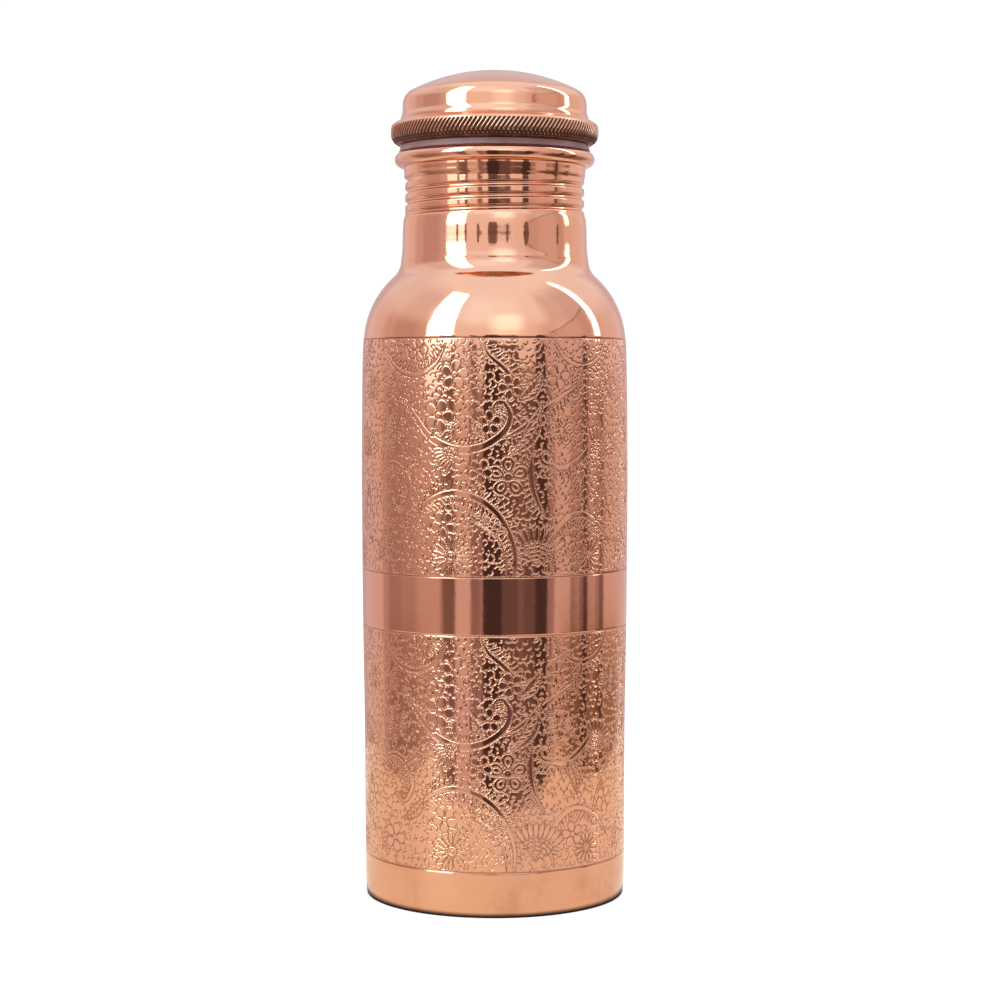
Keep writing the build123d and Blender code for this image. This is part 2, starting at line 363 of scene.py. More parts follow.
def ground(art, pitch=1.8):
    """A close ground of small hooks that follow a swirling grain."""
    rng = np.random.default_rng(7)
    columns = round(TILE[0] / (pitch * 1.12))
    for row in range(round(TILE[1] / pitch) + 2):
        for column in range(columns):
            u = (column + 0.5 * (row % 2)) * TILE[0] / columns + rng.normal(0, 0.3)
            v = row * pitch + rng.normal(0, 0.3)
            swirl = 60 * sin(4 * pi * u / TILE[0] + 1.6 * sin(v / 11)) + rng.normal(0, 40)
            swirl += 80 * sin(v / 9 + 2 * pi * u / TILE[0])
            radius = rng.uniform(0.5, 1.1)
            sweep = rng.uniform(110, 230)
            art.stroke(curl((u, v), radius, swirl - sweep / 2, sweep, radius * rng.uniform(0.4, 1.3), 12))


def draw_ornament():
    """The stencil of one band: vines with leaflets, leaves, shells and flowers over a close ground.
    Places are (distance from the tile's middle, height)."""
    art = Stencil()
    middle = TILE[0] / 2

    def path(*points, tail=None):
        line = smooth([(middle + u, v) for u, v in points])
        if tail:
            (u, v), radius, start, sweep, end = tail
            line = np.concatenate([line, curl((middle + u, v), radius, start, sweep, end)])
        return line

    ground(art)
    vines = [                                # path, half width at its root, sides with leaflets
        (path((-6, 15), (-2, 12.8), (1.4, 9.6), (3, 5.2), (3.4, 0.2)), 0.35, ()),
        (path((-4, 63), (-1.5, 58), (2.4, 54.6), (6.0, 50.4), (6.6, 46)), 0.7, (1,)),
        (path((-34, 60), (-29, 54.5), (-22, 52.6), (-16, 55.4), (-13, 60.5)), 0.7, (1,)),
        (path((16, 62), (19.6, 57), (25.5, 54.6), (31.6, 57), (35, 62)), 0.7, (-1,)),
        (path((-36, 26), (-31, 29.5), (-26, 27.6), (-23.6, 22.6), (-25.4, 18.4),
              tail=((-27.3, 19.4), 2.1, -25, -230, 0.6)), 0.75, (-1,)),
        (path((32, 40), (27, 33), (20, 28.5), (14, 29.4),
              tail=((14.2, 31.6), 2.2, -95, -240, 0.6)), 0.8, (1,)),
        (path((36, 8), (30, 14), (23.5, 16.2), (18, 13.2), (15.4, 7.6), (16.6, 1)), 0.8, (1,)),
        (path((12.6, 45), (9.4, 38), (9.6, 30), (10.6, 22), (13.8, 15.5)), 0.8, (-1,)),
        (path((24, 50), (18, 46.5), (12.6, 42.8), (7, 38.6), (2, 36.2)), 0.8, (1,)),
        (path((-24, 13), (-19, 19), (-12, 22), (-5, 20.8), (0.5, 17), (4, 11.5), (5.6, 5.5), (5.2, -1)),
         0.85, (1, -1)),
        (path((-27, 48), (-22, 42), (-17, 36.5), (-10, 33.4), (-3, 34.2), (2.6, 38), (4.2, 42.5),
              (2.6, 45.6), tail=((1.4, 43.6), 2.3, 58, 260, 0.7)), 0.95, (1,)),
    ]
    for line, width, sides in vines:
        for side in sides:
            fringe(art, line, side, length=3.2, step=1.35)
    for line, width, sides in vines:
        art.stroke(line, width)
    leaves = [                               # root, tip, half width, veins, bend
        ((13, 45), (8.2, 26), 2.0, 9, -0.08), ((12.6, 42.6), (3.2, 31.6), 1.8, 7, 0.12),
        ((-17, 36.6), (-9.4, 40.8), 1.7, 5, 0.1), ((-20, 18.6), (-27, 13), 1.8, 5, 0.1),
        ((3.6, 12), (-3.6, 15.8), 1.5, 4, 0.1), ((21, 28.8), (24, 20), 2.0, 6, 0.1),
        ((6.6, 46), (12.8, 53.2), 1.9, 5, -0.1), ((-26, 27.6), (-19.5, 29.8), 1.6, 5, 0.1),
        ((30, 14), (33.5, 23.5), 2.1, 7, -0.1), ((-29, 54), (-33, 46), 1.9, 6, 0.1),
        ((-8.6, 56.5), (-15, 50.5), 1.8, 6, 0.1), ((25, 54.8), (23.4, 46.5), 1.9, 6, -0.1),
        ((-2, 36), (-6, 41.2), 1.5, 4, 0.1), ((-33, 12), (-37, 3), 1.9, 5, 0.1),
    ]
    for root, tip, bulge, veins, bend in leaves:
        leaf(art, (middle + root[0], root[1]), (middle + tip[0], tip[1]), bulge, veins, bend)
    shells = [                               # place, radius, facing, spread, rays, rows
        ((11.2, 3.0), 9.6, 78, 96, 9, 5), ((-9.6, 33.6), 6.6, 214, 70, 7, 3),
        ((30.5, 31), 7.4, 60, 110, 9, 4),
    ]
    for (u, v), radius, facing, spread, rays, rows in shells:
        shell(art, (middle + u, v), radius, facing, spread, rays, rows)
    for (u, v), radius, rays in (((-11.5, 5.4), 5.4, 15), ((27.5, 5.2), 4.4, 13)):
        daisy(art, (middle + u, v), radius, rays)
    flowers = [                              # place, radius, petals, turn, petals within petals
        ((-15.0, 42.0), 4.4, 5, 70, False), ((-1.2, 40.3), 3.2, 5, 20, False),
        ((3.7, 26.2), 5.4, 5, 90, True), ((4.4, 49.6), 3.3, 5, 40, False),
        ((-10.5, 52.6), 4.0, 5, 10, False), ((18.4, 38.0), 4.2, 5, 12, True),
        ((-13.6, 13.8), 3.6, 5, 50, False), ((17.5, 52.2), 3.6, 5, 0, False),
        ((-29.5, 38.2), 4.6, 6, 20, True), ((-30.5, 7.5), 4.0, 5, 0, False),
        ((22.6, 9.2), 3.4, 5, 30, False), ((36.0, 49.2), 4.0, 5, 30, True),
        ((-21.5, 59.0), 3.2, 5, 0, False), ((-3.8, 27.8), 3.3, 5, 60, False),
        ((35.0, 17.2), 3.6, 5, 60, False),
    ]
    for (u, v), radius, petals, turn, inner in flowers:
        flower(art, (middle + u, v), radius, petals, turn, inner)
    return art.etch


def settle(field):
    """Averages the drawn cells onto the wall's grid, without the faint cells beside a line."""
    step = round(GRID / GRAIN)
    rows, columns = field.shape[0] // step, field.shape[1] // step
    cells = field[: rows * step].reshape(rows, step, columns, step).mean((1, 3))
    return np.clip((cells - FAINT) / (SOLID - FAINT), 0, 1)


# ------------------------------------------------------------------ materials
class Shader:
    """Short names for building a node tree."""

    def __init__(self, tree):
        self.tree = tree
        self.tree.nodes.clear()

    def node(self, kind, inputs=None, **settings):
        node = self.tree.nodes.new(kind)
        for key, value in settings.items():
            setattr(node, key, value)
        for key, value in (inputs or {}).items():
            if isinstance(value, bpy.types.NodeSocket):
                self.tree.links.new(value, node.inputs[key])
            else:
                node.inputs[key].default_value = value
        return node

    def math(self, operation, *values, clamp=False):
        inputs = dict(enumerate(values))
        return self.node("ShaderNodeMath", inputs, operation=operation, use_clamp=clamp).outputs[0]

    def span(self, value, low, high, to_low=0.0, to_high=1.0, smooth_ends=True):
        """Maps value from low..high to to_low..to_high."""
        inputs = {0: value, 1: low, 2: high, 3: to_low, 4: to_high}
        kind = "SMOOTHSTEP" if smooth_ends else "LINEAR"
        return self.node("ShaderNodeMapRange", inputs, interpolation_type=kind, clamp=True).outputs[0]

    def noise(self, vector, scale, detail=2.0, rough=0.5):
        inputs = {"Vector": vector, "Scale": scale, "Detail": detail, "Roughness": rough}
        return self.node("ShaderNodeTexNoise", inputs).outputs["Fac"]

    def mix(self, factor, a, b):
        # a colour mix has its factor on socket 0, its colours on 6 and 7, and its result on output 2
        node = self.node("ShaderNodeMix", data_type="RGBA")
        for key, value in ((0, factor), (6, a), (7, b)):
            if isinstance(value, bpy.types.NodeSocket):
                self.tree.links.new(value, node.inputs[key])
            else:
                node.inputs[key].default_value = value
        return node.outputs[2]

    def place(self, stretch=(1, 1, 1)):
        """Object coordinates, stretched along an axis."""
        coordinates = self.node("ShaderNodeTexCoord").outputs["Object"]
        return self.node("ShaderNodeMapping", {"Vector": coordinates, "Scale": stretch}).outputs[0]

    def turned(self):
        """Distance from the axis, and height: coordinates for marks that run round the object."""
        place = self.place()
        flat = self.node("ShaderNodeVectorMath", {0: place, 1: (1, 1, 0)}, operation="MULTIPLY").outputs[0]
        radius = self.node("ShaderNodeVectorMath", {0: flat}, operation="LENGTH").outputs["Value"]
        height = self.node("ShaderNodeSeparateXYZ", {0: place}).outputs["Z"]
        return self.node("ShaderNodeCombineXYZ", {0: radius, 2: height}).outputs[0]

    def bump(self, height, strength, distance, normal=None):
        inputs = {"Height": height, "Strength": strength, "Distance": distance}
        if normal is not None:
            inputs["Normal"] = normal
        return self.node("ShaderNodeBump", inputs).outputs[0]

    def surface(self, **inputs):
        values = {key.replace("_", " "): value for key, value in inputs.items()}
        shader = self.node("ShaderNodeBsdfPrincipled", values)
        output = self.node("ShaderNodeOutputMaterial")
        self.tree.links.new(shader.outputs[0], output.inputs[0])


COPPER = (0.82, 0.395, 0.24, 1)
PINK_COPPER = (0.79, 0.385, 0.26, 1)
DULL_COPPER = (0.56, 0.235, 0.13, 1)
FROSTED_COPPER = (0.42, 0.18, 0.112, 1)
# dark brown: the knurl's oxide, also used as the painted shade on the grip ring
OXIDE_AND_SHADE = (0.10, 0.045, 0.034, 1)
PLUG_SHADE = (0.68, 0.31, 0.19, 1)
BASE_COPPER = (0.70, 0.33, 0.21, 1)
BASE_SHADE = (0.45, 0.18, 0.10, 1)
BRAZE = (0.66, 0.46, 0.24, 1)
BRAZE_SHADE = (0.40, 0.25, 0.13, 1)
SILICONE = (0.33, 0.155, 0.145, 1)
SILICONE_SHADE = (0.25, 0.11, 0.105, 1)


def new_material(name):
    material = bpy.data.materials.new(name)
    material.use_nodes = True
    return material, Shader(material.node_tree)


def copper(name, shine=(0.04, 0.09), etched=False, tarnish=0.35):
    """Polished copper: slight patches of tone, lathe-fine polishing lines, specks of tarnish."""
    material, s = new_material(name)
    place = s.place()
    patches = s.noise(place, 38.0, 3.0, 0.55)
    tone = s.mix(s.span(patches, 0.35, 0.68), COPPER, PINK_COPPER)
    specks = s.noise(place, 210.0, 4.0, 0.62)
    stain = s.math("MULTIPLY", s.span(specks, 0.66, 0.80), s.span(patches, 0.48, 0.66))
    stain = s.math("MULTIPLY", stain, tarnish)
    tone = s.mix(stain, tone, DULL_COPPER)
    lines = s.noise(s.turned(), 2500.0, 3.0, 0.7)
    tone = s.mix(s.span(lines, 0.4, 0.8, 0.0, 0.1), tone, DULL_COPPER)
    rough = s.span(s.noise(place, 160.0, 4.0, 0.6), 0.3, 0.72, *shine)
    rough = s.math("ADD", rough, s.math("MULTIPLY", stain, 0.25))
    if etched:
        groove = s.node("ShaderNodeAttribute", attribute_name="etch").outputs["Fac"]
        frost = s.span(groove, 0.15, 0.75)
        tone = s.mix(frost, tone, FROSTED_COPPER)
        rough = s.math("ADD", rough, s.math("MULTIPLY", frost, 0.18))
        height = s.node("ShaderNodeSeparateXYZ", {0: place}).outputs["Z"]
        near_foot = s.span(height, 0.002, 0.022, 1.0, 0.0)
        smudges = s.math("MULTIPLY", s.span(s.noise(place, 55.0, 4.0, 0.65), 0.46, 0.72), near_foot)
        tone = s.mix(s.math("MULTIPLY", smudges, 0.55), tone, DULL_COPPER)
    peel = s.noise(place, 420.0, 2.0, 0.5)
    normal = s.bump(lines, 0.012, 0.0002)
    normal = s.bump(peel, 0.03, 0.0004, normal)
    s.surface(Base_Color=tone, Metallic=1.0, Roughness=rough, Normal=normal)
    return material


def knurled_copper(name):
    """Polished copper on the knurl's crests and brown oxide in its grooves, and painted shade towards the
    ring's foot and on its inside.
    """
    material, s = new_material(name)
    place = s.place()
    # the groove attribute carries the oxide in the knurl's cuts and painted shade low on the ring and on its
    # inside
    groove = s.node("ShaderNodeAttribute", attribute_name="groove").outputs["Fac"]
    grime = s.noise(place, 300.0, 3.0, 0.6)
    # the mix towards the dark colour: oxide in the cuts plus painted shade
    oxide_and_shade = s.span(s.math("ADD", groove, s.math("MULTIPLY", s.math("SUBTRACT", grime, 0.5), 0.4)), 0.15, 0.7)
    tone = s.mix(s.span(s.noise(place, 60.0), 0.35, 0.7), COPPER, PINK_COPPER)
    tone = s.mix(oxide_and_shade, tone, OXIDE_AND_SHADE)
    rough = s.span(oxide_and_shade, 0.0, 1.0, 0.12, 0.55)
    normal = s.bump(s.noise(place, 900.0, 2.0), 0.08, 0.0003)
    s.surface(Base_Color=tone, Metallic=1.0, Roughness=rough, Normal=normal)
    return material


def worked_copper(name, light, dark, rough, marks=2600.0):
    """Duller metal with lathe lines, for the plug, the base and its braze."""
    material, s = new_material(name)
    place = s.place()
    lines = s.noise(s.turned(), marks, 4.0, 0.75)
    patches = s.noise(place, 90.0, 5.0, 0.6)
    worn = s.math("ADD", patches, s.math("MULTIPLY_ADD", lines, 0.3, -0.15))
    tone = s.mix(s.span(worn, 0.35, 0.7), light, dark)
    gloss = s.span(lines, 0.25, 0.75, rough - 0.07, rough + 0.1)
    normal = s.bump(lines, 0.2, 0.0003)
    normal = s.bump(s.noise(place, 700.0, 3.0), 0.12, 0.0003, normal)
    s.surface(Base_Color=tone, Metallic=1.0, Roughness=gloss, Normal=normal)
    return material


def silicone(name):
    """Matt mauve-grey silicone with a fine moulded skin."""
    material, s = new_material(name)
    place = s.place()
    patches = s.noise(place, 110.0, 4.0, 0.6)
    tone = s.mix(s.span(patches, 0.3, 0.7), SILICONE, SILICONE_SHADE)
    rough = s.span(patches, 0.3, 0.7, 0.42, 0.6)
    normal = s.bump(s.noise(place, 1500.0, 2.0), 0.15, 0.0002)
    s.surface(Base_Color=tone, Roughness=rough, Normal=normal)
    return material


MATERIALS = {
    "etched_copper": copper("etched_copper", etched=True),
    "polished_copper": copper("polished_copper", tarnish=0.25),
    "knurled_copper": knurled_copper("knurled_copper"),
    "plug_copper": worked_copper("plug_copper", COPPER, PLUG_SHADE, rough=0.24),
    "base_copper": worked_copper("base_copper", BASE_COPPER, BASE_SHADE, rough=0.32, marks=1400.0),
    "braze": worked_copper("braze", BRAZE, BRAZE_SHADE, rough=0.42),
    "silicone": silicone("silicone"),
}


# ------------------------------------------------------------------ body
def groove_depth(height, angle, half, depth):
    """How deep the rolled thread lies at a height, for an array of angles in radians."""
    turn = (np.degrees(angle) - THREAD["start"]) / 360
    last = (THREAD["top"] - THREAD["bottom"]) / THREAD["pitch"]
    deepest = np.zeros_like(angle)
    for start in range(-1, 5):
        at = turn + start
        away = np.abs(height - THREAD["bottom"] - THREAD["pitch"] * at)
        form = np.clip(1 - (away / half) ** 2, 0, 1) ** 1.3
        # each end of the thread fades over an eighth of a turn
        fade = np.clip((at + THREAD["run_in"]) * 8 + 0.5, 0, 1) * np.clip((last - at) * 8 + 0.5, 0, 1)
        deepest = np.maximum(deepest, form * fade * (3 - 2 * fade) * fade)
    return depth * deepest


def waver(height, angle):
    """The sheet's slight unevenness, from planishing."""
    return 0.010 * (
        np.sin(3 * angle + height / 31) + 0.8 * np.sin(5 * angle - height / 17 + 1.3)
        + 0.5 * np.sin(9 * angle + height / 9.5) + 0.5 * np.sin(2 * angle - height / 12 + 2.1)
    )


def band_etch(ornament):
    """For a height on the wall, the etching round the bottle, from 0 to 1."""
    line_half = 0.26                         # half width of the border lines

    def at(height):
        across = np.zeros(REPEATS * ornament.shape[1])
        for foot in BAND_FEET:
            v = height - foot
            if 0 <= v < TILE[1]:
                across = np.tile(ornament[min(int(v / GRID), len(ornament) - 1)], REPEATS)
            for edge in (0.0, TILE[1]):
                border = max(0.0, 1 - (abs(v - edge) / line_half) ** 2)
                across = np.maximum(across * (1 - border), border)
        return across

    return at


def build_body():
    """Outside wall, shoulder, threaded neck, curled rim and inside, as one closed skin."""
    etching = band_etch(settle(draw_ornament()))
    many = round(REPEATS * TILE[0] / GRID)
    few = many // 3
    middle_turn = (TILE[0] / 2) / (TILE[0] * REPEATS)    # the ornament's middle faces the front
    first = -pi / 2 - 2 * pi * middle_turn
    rings, etch = [], []

    def add(radius, height, count, depth=None):
        rings.append(ring(radius, height, count, first))
        etch.append(np.zeros(count) if depth is None else depth)

    def angles(count):
        return first + np.arange(count) * 2 * pi / count

    wall = eased(WALL, GRID)
    lower, upper = BAND_FEET[0] - 2 * GRID, BAND_FEET[1] + TILE[1] + 2 * GRID
    calm = np.clip((wall[:, 1] - 1) / 12, 0, 1)          # the foot stays round
    for (radius, height), steady in zip(wall, calm):
        if lower <= height <= upper:
            depth = etching(height)
            add(radius + steady * waver(height, angles(many)) - ETCH * depth, height, many, depth)
        elif height < lower and (round(height / GRID) % 4 == 0 or height < 1.5):  # plain wall needs few rings
            add(radius + steady * waver(height, angles(few)), height, few)
    sx, sz, sr = SHOULDER
    rx, rz, rr = ROOT
    start = degrees(np.arcsin((wall[-1][1] - sz) / sr))
    blend = degrees(atan2(rz - sz, rx - sx))
    shoulder = arc(sx, sz, sr, start, blend, 60)
    root = arc(rx, rz, rr, 180 + blend, 180, 30)
    for k, (radius, height) in enumerate([*shoulder[1:], *root[1:]]):
        fade = max(0.0, 1 - k / 60)
        add(radius + fade * waver(height, angles(few)), height, few)
    neck = eased(NECK, 0.12)
    for radius, height in neck[1:]:
        add(radius - groove_depth(height, angles(few), THREAD["half"], THREAD["depth"]), height, few)
    bead_x, bead_r = BEAD
    bead_z = RIM_TOP - bead_r
    roll_r = bead_x - COLLAR + SHEET
    roll_z = RIM_TOP - roll_r
    collar_top = bead_z - 0.55 * bead_r - 0.7            # it stops short of the bead
    hem = [(COLLAR, z) for z in np.linspace(neck[-1][1] + 0.2, collar_top, 4)]
    curl_out = arc(bead_x, bead_z, bead_r, -103, 90, 44)
    roll_in = arc(bead_x, roll_z, roll_r, 90, 180, 16)[1:]
    for radius, height in [*hem, *curl_out, *roll_in]:
        add(radius, height, few)
    inner_neck = [(r - SHEET, z) for r, z in neck[::-1] if z < roll_z - 0.2]
    for radius, height in inner_neck:
        lift = groove_depth(height, angles(few), THREAD["half"] + 0.4, THREAD["depth"])
        add(radius - lift, height, few)
    inside = [*arc(rx, rz, rr + SHEET, 180, 180 + blend, 16)[1:]]
    inside += [*arc(sx, sz, sr - SHEET, blend, start, 30)[1:]]
    inside += [(max(r - SHEET, SEAM), z) for r, z in eased(WALL, 4.0)[::-1][1:]]
    for radius, height in inside:
        add(radius, height, few)
    piece = make_mesh("bottle_body", rings, "etched_copper", "bottle",
                      layers={"etch": etch}, crisp="etch", closed=True)
    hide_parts("body_shell")


# ------------------------------------------------------------------ lid
def build_dome():
    """The spun cap: crown, round corner, wall and flared skirt."""
    wall_r, corner_r, crown_r = 25.12, 4.0, 50.39
    taper, wall_lean = 0.09, 2.5             # the wall leans in a little, in mm and in degrees
    crown_z = LID_TOP - crown_r
    corner_x = wall_r - taper - corner_r
    corner_z = crown_z + sqrt((crown_r - corner_r) ** 2 - corner_x**2)
    lean = degrees(atan2(corner_z - crown_z, corner_x))
    flare_r, skirt_r, skirt = 3.0, 25.65, 2.4    # the skirt goes down that far into the grip ring
    columns = 288
    swing = degrees(np.arccos(1 - (skirt_r - wall_r) / (2 * flare_r)))
    flare_top = RING_TOP + 2 * flare_r * sin(radians(swing))

    def side(inset):
        crown = arc(0, crown_z, crown_r - inset, 90, lean, 60)[1:]
        corner = arc(corner_x, corner_z, corner_r - inset, lean, wall_lean, 30)[1:]
        flare = arc(wall_r + flare_r, flare_top, flare_r + inset, 180 + wall_lean, 180 + swing, 10)
        turn = arc(skirt_r - flare_r, RING_TOP, flare_r - inset, swing, 0, 8)[1:]
        return [*crown, *corner, *flare, *turn, (skirt_r - inset, RING_TOP - skirt)]

    section = [*side(0), *side(SHEET)[::-1]]
    rings = [ring(r, z, columns) for r, z in section][::-1]
    piece = make_mesh("lid_cap", rings, "polished_copper", "lid", cap_first=True, cap_last=True)
    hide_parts("lid_dome")


def build_ring():
    """The grip ring, with a knurl of diagonal cuts rolled into its belt, crossed by others lower down."""
    teeth, per_tooth = 144, 8 if FINE else 5
    count = teeth * per_tooth
    angle = -pi / 2 + np.arange(count) * 2 * pi / count
    lean = 0.57                              # teeth passed for each mm of height
    knurl = 0.36                             # depth of the grooves
    foot_r, lip, step = 2.9, 1.75, 0.12      # the rounded foot, the lip's thickness, between rings
    belt_foot, belt_top = RING_BOTTOM + 0.35, RING_TOP - 2.0
    turned_in = [(25.65, 0.0), (26.2, 0.15), (27.24, 0.8), (27.75, 1.15), (28.08, 1.55), (RING_RADIUS, 2.5)]
    section = [(min(r, RING_RADIUS), RING_TOP - fall) for r, fall in smooth(turned_in, 4)]
    section += [(RING_RADIUS, z) for z in np.arange(RING_TOP - 2.5 - step, RING_BOTTOM + foot_r + 0.1, -step)]
    section += [*arc(RING_RADIUS - foot_r, RING_BOTTOM + foot_r, foot_r, 0, -80, 26)]
    section += [(25.7, RING_BOTTOM), (24.0, RING_BOTTOM), (23.6, RING_BOTTOM + 0.1)]
    section += [(23.6, RING_BOTTOM + lip), (27.4, RING_BOTTOM + lip)]
    section += [(27.4, RING_TOP - 2.6), (26.6, RING_TOP - 1.1), (25.65, RING_TOP - 0.8)]
    rings, oxide_and_painted_shade = [], []
    for radius, height in section:
        cut = np.zeros(count)
        if belt_foot < height < belt_top + 0.3 and radius > 26.6:
            rise = height - RING_BOTTOM
            one = teeth * angle / (2 * pi) - lean * rise
            two = teeth * angle / (2 * pi) + lean * rise
            first_cut = 1 - np.abs(2 * (one % 1) - 1)
            second_cut = 1 - np.abs(2 * (two % 1) - 1)
            high = np.clip((rise - 1.3) / 1.2, 0, 1)     # 1 where the second cuts have nearly faded
            cut = np.maximum((0.5 + 0.5 * high) * first_cut**1.2, (0.85 - 0.75 * high) * second_cut**1.4)
            cut *= np.clip((belt_top + 0.3 - height) / 0.35, 0, 1)
            cut *= np.clip((height - belt_foot) / 0.3, 0, 1)
        rings.append(ring(radius - knurl * cut, height, count))
        # painted shade: darker towards the belt's foot, and dark on the ring's inner faces
        painted_shade = np.clip((belt_top - height) / (belt_top - belt_foot), 0, 1) if radius > 25.7 else 0.8
        # the groove layer: oxide in the knurl's cuts plus that painted shade
        oxide_and_painted_shade.append(np.clip(cut + 0.05 + 0.5 * painted_shade**3, 0, 1) * (height < belt_top + 0.1))
    piece = make_mesh("grip_ring", rings[::-1], "knurled_copper", "lid",
                      layers={"groove": oxide_and_painted_shade[::-1]}, closed=True)
    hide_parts("clinch_ring")


def build_gasket():
    """The washer, pressed out a little over the rim."""
    low, high = GASKET_BOTTOM, GASKET_TOP
    section = [
        (23.8, low + 0.15), (24.1, low), (25.2, low), (25.65, low - 0.06), (25.95, low - 0.17),
        (26.05, low - 0.1), (26.02, low + 0.2), (25.85, low + 0.6), (25.68, low + 1.1),
        (25.62, high - 0.08), (25.56, high), (24.1, high), (23.8, high - 0.15),
    ]
    piece = revolve("gasket_washer", section, 256, "silicone", "gasket", closed=True)
    rounding = piece.modifiers.new("round", "SUBSURF")
    rounding.levels = rounding.render_levels = 1
    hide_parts("sealing_gasket")


def dress_cad():
    """Gives the CAD parts that stay their finishes."""
    finishes = {"base_plate": "base_copper", "base_braze_bead": "braze", "threaded_plug": "plug_copper"}
    for node, slot in finishes.items():
        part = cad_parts[node]
        part.data.materials.clear()
        part.data.materials.append(MATERIALS[slot])
        for polygon in part.data.polygons:
            polygon.material_index = 0


build_body()
build_dome()
build_ring()
build_gasket()
dress_cad()


# ------------------------------------------------------------------ stage
def build_table():
    """A pale table top. What the copper mirrors is a white board on it, about twice as wide as the
    bottle is tall; what the camera sees is the pale floor, which goes on behind and curves up."""
    front, back, half, thick = -0.150, 2.2, 1.6, 0.012
    edge, bend, wall_top = 0.004, 0.5, 2.5   # the table's rounded edge, and the curve up to the back wall
    section = [(front + edge, -thick), (front, edge - thick), (front, -edge), (front + edge, 0.0)]
    section.append((back, 0.0))
    section += [(back + bend * sin(radians(a)), bend - bend * cos(radians(a))) for a in range(10, 91, 10)]
    section.append((back + bend, wall_top))
    floor = stage_sheet("table", [(x, y, z) for x in (-half, half) for y, z in section], len(section))
    floor_white = white_stage("table_white", glow=0.85, tint=(1, 1, 1, 1), albedo=0.16, shadow=0.0356)
    floor.data.materials.append(floor_white)
    floor.visible_glossy = False
    side, near, far = 0.228, -0.172, 0.240
    board = stage_sheet("board", [(x, y, 0.0) for x in (-side, side) for y in (near, far)], 2)
    board_white = white_stage("board_white", glow=0.92, tint=(1, 0.95, 0.81, 1), albedo=0.0, shadow=0.0392)
    board.data.materials.append(board_white)
    board.visible_camera = board.visible_diffuse = board.visible_shadow = False


def stage_sheet(name, points, n):
    """A sheet between two copies of an n-point line."""
    mesh = bpy.data.meshes.new(name)
    mesh.from_pydata(points, [], [(n + k, n + k + 1, k + 1, k) for k in range(n - 1)])
    mesh.shade_smooth()
    sheet = bpy.data.objects.new(name, mesh)
    bpy.context.scene.collection.objects.link(sheet)
    return sheet


def white_stage(name, glow, tint, albedo, shadow):
    """Evenly lit white, with a narrow contact shadow round the bottle's foot, out to a radius."""
    material, s = new_material(name)
    place = s.place()
    radius = s.node("ShaderNodeVectorMath", {0: place}, operation="LENGTH").outputs["Value"]
    foot = 0.0350                            # the bottle's radius there
    shade = s.span(radius, foot, shadow)
    grain = s.noise(place, 60.0, 3.0)
    tone = s.mix(grain, (albedo, albedo, albedo, 1), (albedo * 1.04, albedo * 1.04, albedo * 1.04, 1))
    light = s.mix(s.span(grain, 0.2, 0.8, 0.0, 0.04), tint, (0, 0, 0, 1))
    strength = s.math("MULTIPLY", shade, glow)
    s.surface(Base_Color=tone, Roughness=0.7, Emission_Color=light, Emission_Strength=strength)
    return material


def stops(ramp, values, low, high):
    """Fills a colour ramp with (azimuth, brightness) stops between two azimuths, in degrees."""
    elements = ramp.color_ramp.elements
    elements.remove(elements[-1])
    for index, (azimuth, light) in enumerate(values):
        place = (azimuth - low) / (high - low)
        element = elements[0] if index == 0 else elements.new(place)
        element.position = place
        element.color = (light, light, light, 1)


